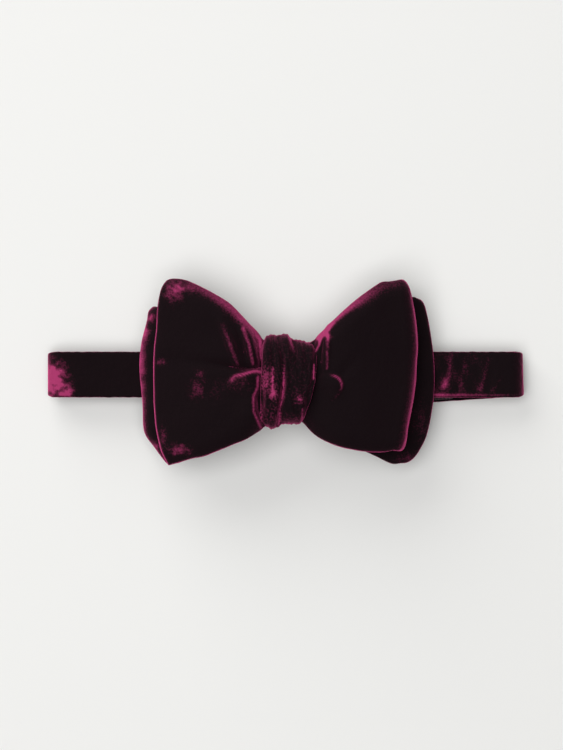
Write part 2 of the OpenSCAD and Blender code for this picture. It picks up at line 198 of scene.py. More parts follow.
def brushed(x, y, centre, radii, strength, seed):
    """A ragged patch of lighter base colour, used both for brushed pile and for painted sheen."""
    wander = 0.45 * min(radii)
    dx, dy = ripples(x, y, 4.5, seed), ripples(x, y, 3.5, seed + 4)
    spot = bulge(x + wander * dx, y + wander * dy, centre, radii, strength)
    return spot * (1 + 0.5 * ripples(x, y, 2.6, seed + 7))


def pile(x, y, patches, strokes):
    """Brushed pile and painted highlights: ragged patches (middle, radii, strength, seed), partly brushed pile
    and partly painted sheen, and strokes (line, strengths, widths), which are painted highlight lines.
    """
    return sum(brushed(x, y, *each) for each in patches) + sum(ridge(x, y, *each) for each in strokes)


def normals_of(grid):
    """Unit normals at the points of a grid."""
    n = np.cross(np.gradient(grid, axis=0), np.gradient(grid, axis=1))
    return n / np.maximum(np.linalg.norm(n, axis=2, keepdims=True), 1e-9)


def thick_sheet(grid, thickness, lip=0.35):
    """A closed skin round a grid of middle points: its two faces, and a seam lip round its border."""
    n, m = grid.shape[:2]
    half = normals_of(grid) * thickness[..., None] / 2
    border = ([(i, 0) for i in range(n)] + [(n - 1, j) for j in range(1, m)]
              + [(i, m - 1) for i in range(n - 2, -1, -1)] + [(0, j) for j in range(m - 2, 0, -1)])
    rim = []
    for i, j in border:
        out = np.zeros(3)
        if j in (0, m - 1):
            out += grid[i, j] - grid[i, 1 if j == 0 else m - 2]
        if i in (0, n - 1):
            out += grid[i, j] - grid[1 if i == 0 else n - 2, j]
        rim.append(grid[i, j] + lip * out / max(np.linalg.norm(out), 1e-9))
    vertices = np.vstack([(grid + half).reshape(-1, 3), (grid - half).reshape(-1, 3), np.array(rim)])

    def at(side, i, j):
        return side * n * m + i * m + j

    faces = []
    for i in range(n - 1):
        for j in range(m - 1):
            faces.append((at(0, i, j), at(0, i + 1, j), at(0, i + 1, j + 1), at(0, i, j + 1)))
            faces.append((at(1, i, j), at(1, i, j + 1), at(1, i + 1, j + 1), at(1, i + 1, j)))
    for k, (a, b) in enumerate(zip(border, border[1:] + border[:1])):
        r0, r1 = 2 * n * m + k, 2 * n * m + (k + 1) % len(border)
        faces.append((at(0, *b), at(0, *a), r0, r1))
        faces.append((at(1, *a), at(1, *b), r1, r0))
    return vertices, faces


def make_mesh(name, vertices, faces, material, pile_and_painted_sheen=None):
    """A smooth closed skin at the origin from points in millimetres. pile_and_painted_sheen is how brushed each
    point is and how much painted highlight or sheen it carries.
    """
    mesh = bpy.data.meshes.new(name)
    mesh.from_pydata((np.asarray(vertices) * MM).tolist(), [], faces)
    mesh.update()
    mesh.polygons.foreach_set("use_smooth", [True] * len(mesh.polygons))
    if pile_and_painted_sheen is not None:
        layer = mesh.attributes.new("pile_and_painted_sheen", "FLOAT", "POINT")
        layer.data.foreach_set("value", np.asarray(pile_and_painted_sheen, np.float32))
    form = bmesh.new()
    form.from_mesh(mesh)
    bmesh.ops.recalc_face_normals(form, faces=form.faces)
    form.to_mesh(mesh)
    form.free()
    mesh.materials.append(material)
    obj = bpy.data.objects.new(name, mesh)
    bpy.context.scene.collection.objects.link(obj)
    return obj


# ---------- Materials ----------

def new_material(name):
    """A new material and its shader, or the material and None if it is there already."""
    material = bpy.data.materials.get(name)
    if material:
        return material, None
    material = bpy.data.materials.new(name)
    material.use_nodes = True
    return material, material.node_tree.nodes["Principled BSDF"]


def node(tree, kind, sockets=(), **settings):
    """A new node with its settings, and constants on its sockets."""
    made = tree.nodes.new(kind)
    for key, value in settings.items():
        setattr(made, key, value)
    for key, value in dict(sockets).items():
        made.inputs[key].default_value = value
    return made


def pattern(tree, kind, sockets, **settings):
    """A texture node that reads Object coordinates."""
    place = node(tree, "ShaderNodeTexCoord")
    texture = node(tree, kind, sockets, **settings)
    tree.links.new(place.outputs["Object"], texture.inputs["Vector"])
    return texture.outputs["Fac"]


def colour_between(tree, shader, amount, low, high):
    """The base colour goes from low to high with amount."""
    mix = node(tree, "ShaderNodeMix", {"A": low, "B": high}, data_type="RGBA")
    tree.links.new(amount, mix.inputs["Factor"])
    tree.links.new(mix.outputs["Result"], shader.inputs["Base Color"])


def bump(tree, height, strength, depth, target):
    """Relief that follows height, fed into the target socket."""
    relief = node(tree, "ShaderNodeBump", {"Strength": strength, "Distance": depth})
    tree.links.new(height, relief.inputs["Height"])
    tree.links.new(relief.outputs["Normal"], target)
    return relief


def finish(tree, shader, constants, gloss=None):
    """Sets the shader's constants. gloss makes the roughness follow a pattern: (pattern, least, most)."""
    for key, value in constants.items():
        shader.inputs[key].default_value = value
    if gloss:
        scaled = node(tree, "ShaderNodeMapRange", {"To Min": gloss[1], "To Max": gloss[2]})
        tree.links.new(gloss[0], scaled.inputs["Value"])
        tree.links.new(scaled.outputs["Result"], shader.inputs["Roughness"])


def velvet_material(colours, crushed=False):
    """Velvet: near black into the pile, magenta sheen on its slopes from the shader, and a base colour that
    turns magenta with the pile_and_painted_sheen attribute, which holds brushed pile and painted highlights.
    The knot's is crushed.
    """
    material, shader = new_material("crushed_velvet" if crushed else "cut_velvet")
    if shader is None:
        return material
    tree = material.node_tree
    pile_and_painted_sheen = node(tree, "ShaderNodeAttribute", attribute_name="pile_and_painted_sheen").outputs["Fac"]
    scale, contrast = (1150.0, 4.0) if crushed else (1400.0, 1.8)
    marks = pattern(tree, "ShaderNodeTexNoise", {"Scale": scale, "Detail": 3.0, "Roughness": 0.6})
    uneven = node(tree, "ShaderNodeMath", {1: contrast, 2: -contrast / 2}, operation="MULTIPLY_ADD")
    together = node(tree, "ShaderNodeMath", operation="ADD")
    spread = node(tree, "ShaderNodeMapRange", {"From Min": 0.15, "From Max": 1.15})
    amount = node(tree, "ShaderNodeMath", operation="MULTIPLY", use_clamp=True)
    for source, socket in ((marks, uneven.inputs[0]), (pile_and_painted_sheen, together.inputs[0]),
                           (uneven.outputs[0], together.inputs[1]), (together.outputs[0], spread.inputs[0]),
                           (pile_and_painted_sheen, amount.inputs[0]), (spread.outputs["Result"], amount.inputs[1])):
        tree.links.new(source, socket)
    # The base colour takes the brushed colour with the attribute: brushed pile, and painted highlights and
    # sheen on edges, folds and pleats.
    colour_between(tree, shader, amount.outputs[0], colours.velvet, colours.brushed)
    fibres = pattern(tree, "ShaderNodeTexNoise", {"Scale": 2600.0, "Detail": 2.0, "Roughness": 0.6})
    fibre_bump = bump(tree, fibres, 0.5, 0.00025, shader.inputs["Normal"])
    lay = pattern(tree, "ShaderNodeTexNoise", {"Scale": 420.0, "Detail": 4.0, "Roughness": 0.6})
    bump(tree, lay, 0.35, 0.0012, fibre_bump.inputs["Normal"])
    finish(tree, shader, {"Roughness": 0.9, "Specular IOR Level": 0.1, "Sheen Roughness": 0.33,
                          "Sheen Weight": 0.7 if crushed else 1.0, "Sheen Tint": colours.sheen})
    return material


def lining_material():
    """Dark satin lining: a fine weave with a soft shine along one way."""
    material, shader = new_material("satin_lining")
    if shader is not None:
        tree = material.node_tree
        weave = pattern(tree, "ShaderNodeTexWave", {"Scale": 900.0, "Distortion": 0.6}, bands_direction="Y")
        patches = pattern(tree, "ShaderNodeTexNoise", {"Scale": 90.0, "Detail": 3.0})
        colour_between(tree, shader, weave, (0.020, 0.006, 0.012, 1), (0.045, 0.012, 0.024, 1))
        bump(tree, weave, 0.25, 0.00008, shader.inputs["Normal"])
        finish(tree, shader, {"Anisotropic": 0.5}, (patches, 0.28, 0.42))
    return material


def ribbon_material():
    """Grosgrain ribbon: ribs across its width."""
    material, shader = new_material("grosgrain_ribbon")
    if shader is not None:
        tree = material.node_tree
        ribs = pattern(tree, "ShaderNodeTexWave", {"Scale": 190.0, "Distortion": 0.3, "Detail Scale": 3.0},
                       bands_direction="X")
        colour_between(tree, shader, ribs, (0.012, 0.003, 0.006, 1), (0.050, 0.010, 0.022, 1))
        bump(tree, ribs, 0.6, 0.0002, shader.inputs["Normal"])
        finish(tree, shader, {"Roughness": 0.62, "Sheen Weight": 0.2, "Sheen Roughness": 0.4})
    return material


def thread_material():
    """Twisted sewing thread."""
    material, shader = new_material("sewing_thread")
    if shader is not None:
        tree = material.node_tree
        twist = pattern(tree, "ShaderNodeTexWave", {"Scale": 900.0}, bands_direction="DIAGONAL")
        colour_between(tree, shader, twist, (0.030, 0.006, 0.014, 1), (0.090, 0.020, 0.045, 1))
        bump(tree, twist, 0.7, 0.0001, shader.inputs["Normal"])
        finish(tree, shader, {"Roughness": 0.6})
    return material


def metal_material():
    """Polished nickel plate, finely scuffed."""
    material, shader = new_material("nickel_plate")
    if shader is not None:
        tree = material.node_tree
        scuffs = pattern(tree, "ShaderNodeTexNoise", {"Scale": 700.0, "Detail": 5.0, "Roughness": 0.7})
        colour_between(tree, shader, scuffs, (0.52, 0.50, 0.47, 1), (0.68, 0.66, 0.63, 1))
        bump(tree, scuffs, 0.08, 0.00005, shader.inputs["Normal"])
        finish(tree, shader, {"Metallic": 1.0}, (scuffs, 0.16, 0.34))
    return material


def floor_material():
    """Pale backdrop paper."""
    material, shader = new_material("backdrop_paper")
    if shader is not None:
        finish(material.node_tree, shader, {"Base Color": (0.86, 0.86, 0.845, 1), "Roughness": 0.9})
    return material


# ---------- Places taken from the frame, in millimetres ----------

def corners(name):
    """The lowest and the highest corner of a node's box."""
    low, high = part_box(name)
    return np.array(low) / MM, np.array(high) / MM


BAND_LOW, BAND_HIGH = corners("band_velvet")
KNOT_LOW, KNOT_HIGH = corners("knot_wrap")
BAND_Y = (BAND_LOW[1] + BAND_HIGH[1]) / 2
BAND_W = BAND_HIGH[1] - BAND_LOW[1]
LOOP_R = BAND_HIGH[2] / 2
FOLD_X = corners("right_fold_velvet")[1][0] - LOOP_R
SKEW = math.radians(4)  # how far the right back run lies askew, so that its edge shows below the front run


# ---------- The blades of the bow ----------

def close_rows(m, closer=0.45):
    """m places from 0 to 1, somewhat closer together near both ends."""
    t = np.linspace(0, 1, m)
    return (1 - closer) * t + closer * (0.5 - 0.5 * np.cos(math.pi * t))


def from_low_edge(grid):
    """Distance of each point of a grid from its first long edge."""
    across = np.linalg.norm(np.diff(grid, axis=1), axis=2)
    return np.concatenate([np.zeros((len(grid), 1)), np.cumsum(across, 1)], 1)


def seam_distance(grid, end=False):
    """Distance of each point of a grid from its long edges, and from its last row if end is set."""
    low = from_low_edge(grid)
    d = np.minimum(low, low[:, -1:] - low)
    if end:
        down = np.linalg.norm(np.diff(grid, axis=0), axis=2)
        d = np.minimum(d, np.concatenate([np.cumsum(down[::-1], 0)[::-1], np.zeros((1, grid.shape[1]))], 0))
    return d


def roll(d, width):
    """0 at a seam, 1 from width inwards, along a quarter ellipse."""
    t = np.clip(1 - d / width, 0, 1)
    return np.sqrt(1 - t * t)


def leaf(xy, level):
    """Points in space from places seen from the front and their levels."""
    return np.concatenate([xy, level[..., None]], 2)


def soften(level, passes=4):
    """Takes the sharp steps out of the levels of a leaf."""
    for _ in range(passes):
        for axis in (0, 1):
            wide = np.concatenate([level.take([0], axis), level, level.take([-1], axis)], axis)
            n = level.shape[axis]
            level = (wide.take(range(n), axis) + 2 * level + wide.take(range(2, n + 2), axis)) / 4
    return level


def near(d, reach):
    """1 at no distance, falling softly to 0 at the given reach."""
    return np.clip(1 - d / reach, 0, 1) ** 2


def places(grid):
    """X and Y of a leaf's points, how far along it they are, and their distances from its edges."""
    along = steps(len(grid))[:, None] + np.zeros((1, grid.shape[1]))
    low = from_low_edge(grid)
    return grid[..., 0], grid[..., 1], along, low, low[:, -1:] - low


def looped_end(upper, z, radius, low_level, n_low=60, n_turn=20):
    """An upper leaf, its fold of the given radius, and the lower leaf back to the knot."""
    lean = 0.2
    fold_starts = 0.4
    along = steps(len(upper))[:, None]
    out = np.gradient(upper[-1], axis=0)
    out = np.stack([out[:, 1], -out[:, 0]], 1)
    out[:, 1] *= lean
    out /= np.linalg.norm(out, axis=1, keepdims=True)
    out *= np.sign((out * (upper[-1] - upper[0])).sum(1, keepdims=True))
    upper = upper - out[None] * (ease((along - fold_starts) / (1 - fold_starts)) * radius[None])[..., None]
    turn = [np.concatenate([upper[-1] + out * (radius[:, None] * math.sin(a)),
                            (z[-1] - radius + radius * math.cos(a))[:, None]], 1)
            for a in np.linspace(0, math.pi, n_turn)[1:-1]]
    pick = np.linspace(len(upper) - 1, 0, n_low).round().astype(int)
    back, s = upper[pick], along[pick]
    level = low_level + (z[-1] - 2 * radius - low_level)[None] * ease(s)
    return np.concatenate([leaf(upper, z), np.stack(turn), leaf(back, level)])


def join(a, b, n=10):
    """Joins two stretches of a blade inside the knot."""
    w = np.linspace(0, 1, n)[1:-1, None, None]
    return np.concatenate([a, a[-1][None] * (1 - w) + b[0][None] * w, b])


def front_blade_shape(rows):
    """Middle points of the front blade: its loop on the right, and its flat end on the left."""
    right = patch(
        start=[(7, -21), (7, -4), (7, 11)],
        end=[(49.4, -34.2), (50.8, -32.2), (51.6, -29), (52.3, -23.5), (53.5, -17.5), (54.7, -11),
             (55.7, -3.4), (56, 3.8), (56.5, 10.5), (56.3, 16), (55.6, 23), (54.6, 29), (53.4, 34.8),
             (52.2, 38), (50.2, 40.3)],
        bottom=[(7, -21), (13, -27.2), (19.4, -30.7), (25, -32.6), (29.5, -33.5), (34, -34.3), (40, -34.9),
                (45.5, -34.9), (49.4, -34.2)],
        top=[(7, 11), (12.8, 14), (15.3, 16.6), (18.4, 20.1), (21, 22.5), (25.1, 26.4), (30.6, 30.9),
             (36.1, 34.7), (41.6, 38.2), (44.5, 39.7), (47.5, 39.9), (50.2, 40.3)],
        n=115, rows=rows)
    x, y, u, low, high = places(right)
    radius = 4.8 - 2.4 * np.abs(2 * rows - 1) ** 4  # the bend is tighter at its two corners
    at_knot, rise, crown = 27.5, 5, 7.0
    z = at_knot + rise * ease(u) + crown * np.sin(np.pi * u ** 0.6) ** 1.2
    z -= ease(u * 6) * (4.0 * near(high, 9) + 2.5 * near(low, 7))
    z += ridge(x, y, [(19.5, 20), (18.2, 14), (17.8, 7), (17.6, 0)], [0.6, 1.5, 1.3, 0.3],
               [1.1, 1, 1, 1])
    z += ridge(x, y, [(16.6, 19), (15.2, 13), (14.2, 8)], [0.8, 1.6, 0.3], [1.2, 1.1, 1.1])
    z -= ridge(x, y, [(17.9, 17), (16.6, 10), (16, 1)], [0.6, 1.3, 0.7], [1, 1.2, 1.4])
    z += overlap(x, y, [(19, -12.5), (22.5, -10), (24.4, -5.6), (22.8, -2.5), (19.5, -1.4), (13, -1.8)],
                 [0, 1, 2, 2, 1.3, 0], 1.1, 7)
    z -= ridge(x, y, [(24.5, -1), (29, 4), (34, 8)], [0.8, 0.7, 0.1], [2.2, 3, 4])
    z += 0.3 * ripples(x, y, 19, 2) * ease(u * 3)
    loop = looped_end(right, soften(z), radius, 24)
    left = patch(
        start=[(-6, -21), (-6, -4), (-6, 11)],
        end=[(-51.3, -40.6), (-54.2, -34.5), (-55.5, -29.5), (-56.6, -23.8), (-57.4, -14), (-57.6, -3.4),
             (-57.6, 5.4), (-57.2, 12), (-56.4, 19), (-56, 27), (-55.3, 32.5), (-54, 36.4), (-51.8, 39.3)],
        bottom=[(-6, -21), (-12.5, -26), (-17.7, -29.2), (-22.2, -31), (-30, -34.2), (-35.5, -36.4),
                (-41, -37.5), (-46.5, -39.2), (-51.3, -40.6)],
        top=[(-6, 11), (-10.4, 14.5), (-12, 16.6), (-14, 19.1), (-17.4, 22.3), (-22.2, 27.7), (-25.5, 30.6),
             (-30, 33.4), (-35.5, 36.4), (-40.4, 38.8), (-44, 40.2), (-47.5, 40.7), (-50, 40.5),
             (-51.8, 39.3)],
        n=125, rows=rows)
    x, y, u, low, high = places(left)
    at_knot, rise, crown = 24, 5, 10
    z = at_knot + rise * ease(u) + crown * np.sin(np.pi * u ** 0.55) ** 1.1
    z -= ease(u * 6) * (4.5 * near(high, 9) + 2.5 * near(low, 7))
    z -= 0.8 * near((1 - u) * 52, 6)
    z -= ridge(x, y, [(-9, 1.5), (-19, 1.8), (-28, 3), (-38, 4.3), (-56, 5.5)], [2.6, 2.6, 1.6, 0.7, 0.4],
               [1.8, 1.6, 2.2, 3, 3])
    z += overlap(x, y, [(-8, 0.2), (-12, 0.6), (-15.5, -0.6), (-20, -1.3), (-24, -4), (-27, -9)],
                 [3, 3, 2.8, 2, 0.8, 0], 1.6, 8)
    z += overlap(x, y, [(-10.9, -25), (-12.1, -20.9), (-13.7, -17.1), (-14, -10.9), (-12.7, -7.8), (-12, -5)],
                 [0, 1.8, 2.8, 2.8, 1.4, 0], 1.1, 6)
    z += ridge(x, y, [(-29, 25), (-26, 17), (-23, 9), (-21, 3.5)], [0.3, 1.5, 2, 0.6],
               [1.4, 1.2, 1.2, 1.2])
    z += ridge(x, y, [(-19.5, 22), (-16.5, 15), (-14.8, 9), (-13.8, 3)], [0.6, 2.2, 2.4, 0.8],
               [1.2, 1.1, 1.1, 1.1])
    z -= ridge(x, y, [(-23, 22), (-19.5, 13), (-17.5, 5)], [0.6, 1.3, 1], [1.5, 1.5, 1.5])
    z -= ridge(x, y, [(-15.5, 19), (-12.8, 12), (-11.8, 4)], [0.8, 1.6, 1.2], [1.3, 1.3, 1.3])
    z += bulge(x, y, (-39, -6), (5, 4), 0.4) + 0.35 * ripples(x, y, 21, 5) * ease(u * 3)
    return join(loop, leaf(left, soften(z)))


def rear_blade_shape(rows):
    """Middle points of the rear blade: its loop on the left, and its flat end on the right."""
    left = patch(
        start=[(-6, -19), (-6, -4), (-6, 9)],
        end=[(-50.6, -40.2), (-53.8, -36.2), (-57.2, -31.6), (-60.4, -27.2), (-61.4, -23), (-61.6, -15),
             (-62.2, -7.5), (-62.9, 0), (-62.9, 6), (-62.2, 12.5), (-60.9, 18), (-59.6, 23), (-59.2, 26),
             (-58.2, 27.4), (-57.2, 28.7)],
        bottom=[(-6, -19), (-18, -25), (-30, -31.5), (-41, -36.5), (-50.6, -40.2)],
        top=[(-6, 9), (-18, 15), (-32, 22), (-46, 26.5), (-57.2, 28.7)],
        n=70, rows=rows)
    x, y, u, low, high = places(left)
    radius = 4.5 - 1.2 * np.abs(2 * rows - 1) ** 3
    z = 20.0 + 4.0 * ease(u) - 1.2 * ease(u * 6) * near(high, 6)
    z += 0.5 * ripples(x, y, 9, 3) * ease(u * 2)
    loop = looped_end(left, z, radius, 16.5)
    right = patch(
        start=[(7, -19), (7, -4), (7, 9)],
        end=[(47.2, -39.2), (51, -40.1), (54.2, -39.5), (57.5, -36.6), (60.7, -31.2), (62.2, -27.4),
             (63.7, -21.1), (65, -12.8), (65.6, -3), (65.3, 5), (64.6, 12), (63.7, 18), (62.6, 24),
             (61.4, 29), (60, 31.6), (58.2, 32.5), (56, 31.8)],
        bottom=[(7, -19), (15, -24.5), (24, -29.3), (32, -33), (38.5, -35.8), (43, -37.8), (47.2, -39.2)],
        top=[(7, 9), (18, 15), (30, 22), (42, 27.5), (50, 30.6), (56, 31.8)],
        n=96, rows=rows)
    x, y, u, low, high = places(right)
    z = 16.8 + 0.6 * np.sin(np.pi * u)
    z -= ease(u * 6) * 0.8 * near(np.minimum(high, low), 6)
    z += 0.4 * ripples(x, y, 14, 7) * ease(u * 2)
    return join(loop, leaf(right, z))


# The line of the right bend, along which highlights are painted.
BEND_LINE = [(54.5, 33), (55.8, 29), (56.8, 23), (57.5, 16), (57.7, 10.5), (57.2, 3.8), (56.9, -3.4),
             (55.9, -11), (54.7, -17.5), (53.5, -23.5), (52.8, -29), (51.4, -33)]
# Lighter patches on the front blade: partly brushed pile, partly painted sheen, such as the glow under the left
# wing's lower lobe and the bright spot where the right wing's top folds down by the knot.
FRONT_PILE_AND_SHEEN_PATCHES = (
    ((-49, 35), (4.2, 5), 0.62, 1), ((-45, 37), (6, 3), 0.4, 2), ((-37.7, -1), (2.6, 2.4), 0.4, 3),
    ((-38.5, -7.8), (3.6, 3.8), 0.5, 4), ((-46.5, -34), (5, 2.6), 0.7, 5), ((-54.2, 4.6), (2.4, 1.8), 0.5, 6),
    ((-53.5, -28), (1.6, 5), 0.45, 7), ((-19, -5), (6, 3.5), 0.3, 8), ((-30, -8), (3, 5), 0.22, 13),
    ((17.4, 18), (2.4, 3.2), 1.2, 9),
)
# Painted highlight lines: along the wings' top edges, the right bend, the lower and left edges, the lips of the
# folds and the pleats by the knot.
FRONT_PAINTED_HIGHLIGHTS = (
    ([(-10.7, 6), (-11.2, 14), (-13.5, 18), (-17.6, 22.4), (-22.4, 27.2), (-30, 32.8), (-36, 35.8),
      (-42, 38.4)],
     [0.9, 1.1, 1, 0.95, 0.85, 0.75, 0.6, 0.35], [0.7, 1.3, 2.2, 2.8, 2.9, 2.7, 2.5, 2.2]),
    ([(14, 15), (18.4, 19.8), (21, 22.1), (25.1, 26), (30.6, 30.3), (36.1, 34), (41.6, 37.2), (45, 38.6),
      (49, 39)],
     [1.2, 1.2, 1, 1, 0.9, 0.75, 0.55, 0.4, 0.35], [1.3, 1.4, 1.3, 1.5, 2.3, 3, 3.2, 3.2, 3]),
    (BEND_LINE, [0.3, 0.9, 1.1, 1, 1.1, 1.2, 1.2, 1.2, 1.1, 0.9], [0.5]),
    (BEND_LINE, [0.2, 0.35, 0.4, 0.45, 0.6, 0.6, 0.55, 0.5], [2.6]),
    ([(52, -33.4), (49.4, -34.6), (45.5, -35.3), (37, -34.9)], [1, 1.1, 1, 0.3], [0.5]),
    ([(-51.5, -41), (-54.5, -34.7), (-55.8, -29.6), (-56.9, -23.8), (-57.7, -14), (-57.9, -3.4), (-57.9, 5.4),
      (-57.5, 12), (-56.7, 19), (-56.3, 28)], [0.8, 1.3, 1.3, 1.4, 1.3, 1.3, 0.7], [0.5]),
    ([(-10, -0.2), (-12.7, 0.6), (-15.9, 0), (-18.4, -0.9), (-22.1, -1.6), (-25.4, -5.3)],
     [1.3, 1.3, 1.2, 1, 0.7, 0.1], [0.8, 0.7, 0.7, 0.8, 1, 2]),
    ([(-12, -2), (-12.2, -6.5), (-14, -10.9), (-13.8, -17.1), (-12.2, -21), (-10.9, -24)],
     [0.9, 0.9, 1.1, 0.9, 1, 0.9], [0.8, 0.7, 0.7, 0.7, 0.7, 0.8]),
    ([(-27.5, 21), (-24, 11.6), (-21, 3.5)], [0.3, 0.65, 0.5], [1.4, 1, 0.9]),
    ([(-18.6, 19), (-16, 12.4), (-14.2, 3.5)], [0.7, 1, 0.8], [0.9, 0.8, 0.75]),
    ([(18.4, 16), (18.1, 9), (18, 1.6)], [0.8, 0.75, 0.7], [0.7, 0.6]),
    ([(15.6, 17), (14.6, 12), (13, 8.8)], [1.2, 1.1, 0.8], [0.8, 0.7, 0.6]),
    ([(19.5, -1.2), (21.6, -1.6), (23.4, -2.9), (24.4, -4.8), (24.3, -7), (22.8, -9.6), (20.3, -12.1)],
     [0.4, 1.2, 1.2, 0.9, 0.35, 0.3, 0.2], [0.6]),
)
# Lighter patches on the rear blade: painted sheen on its left bend, and purple patches low on its right end.
REAR_PILE_AND_SHEEN_PATCHES = (
    ((-59, 24), (3, 2), 0.8, 2), ((-61.5, 17), (2.5, 4), 0.6, 5), ((-57, -33), (2.5, 3), 0.8, 8),
    ((60, -22), (4, 9), 0.28, 4), ((54, -38), (7, 3), 0.35, 6),
)


def front_pile_and_highlights(p):
    """How brushed the pile of the front blade is at each point, with its painted highlights and sheen. Its
    lower leaves are left plain.
    """
    lower_leaf = 22
    return pile(p[:, 0], p[:, 1], FRONT_PILE_AND_SHEEN_PATCHES, FRONT_PAINTED_HIGHLIGHTS) * (p[:, 2] > lower_leaf)


def rear_pile_and_sheen(p):
    """How brushed the pile of the rear blade is at each point, with painted sheen laid most of all along its
    bend on the left.
    """
    x, y = p[:, 0], p[:, 1]
    # Painted sheen along the left bend, then the patches.
    return (0.8 + 0.4 * ripples(x, y, 7, 3)) * ease((-59.6 - x) / 4.2) + pile(x, y, REAR_PILE_AND_SHEEN_PATCHES, ())


def make_blade(context, name, grid, pile_and_painted_sheen):
    """A lined velvet blade, thin at its seams and full between them, in place of its three layers."""
    seam_t = 0.9
    sizes = context.scene.bow_tie_sizes
    full = roll(seam_distance(grid, end=True), sizes.seam_roll / MM)
    vertices, faces = thick_sheet(grid, seam_t + (sizes.blade_thickness / MM - seam_t) * full)
    material = velvet_material(context.scene.bow_tie_colours)
    blade = make_mesh("velvet_" + name, vertices, faces, material, pile_and_painted_sheen(vertices))
    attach(blade, "root")
    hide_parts(name + "_face", name + "_interlining", name + "_back")


class BOWTIE_OT_front_blade(bpy.types.Operator):
    """Front blade: a folded loop on the right and a flat end on the left"""
    bl_idname = "bowtie.front_blade"
    bl_label = "Front Blade"

    def execute(self, context):
        make_blade(context, "front_blade", front_blade_shape(close_rows(128)), front_pile_and_highlights)
        return {"FINISHED"}


class BOWTIE_OT_rear_blade(bpy.types.Operator):
    """Rear blade: a folded loop on the left and a flat end on the right"""
    bl_idname = "bowtie.rear_blade"
    bl_label = "Rear Blade"

    def execute(self, context):
        make_blade(context, "rear_blade", rear_blade_shape(close_rows(96)), rear_pile_and_sheen)
        return {"FINISHED"}


# ---------- The knot ----------

KNOT_PATCHES = (
    ((-5, -9.6), (1.7, 2.2), 0.7, 11), ((-9, -3.5), (1.5, 5.5), 0.6, 12), ((6, -12), (1.6, 1.6), 0.5, 14),
    ((-6, -19), (4, 5), 0.42, 15), ((3, -20.5), (5, 2), 0.38, 16),
)
# Painted highlight lines along the edges of the knot's rolls and pleats.
KNOT_PAINTED_HIGHLIGHTS = (
    ([(-0.8, 3), (-0.8, -3), (-1.1, -10), (-2.6, -16), (-3, -23)], [0.3, 0.9, 1, 0.6, 0.7], [0.6]),
    ([(-5.5, 2), (-5.7, -8), (-6.4, -12)], [0.5, 0.8, 0.2], [0.6]),
    ([(2, 14.5), (3.6, 9)], [0.9, 0.3], [0.7, 0.6]),
    ([(12.3, 3.4), (12.1, -2.8)], [1.2], [0.4]),
    ([(7.3, -16), (7.3, -22)], [0.7, 0.8], [0.5, 0.6]),
    ([(-10.6, -13), (-10.6, -22)], [0.5, 0.7], [0.6]),
)


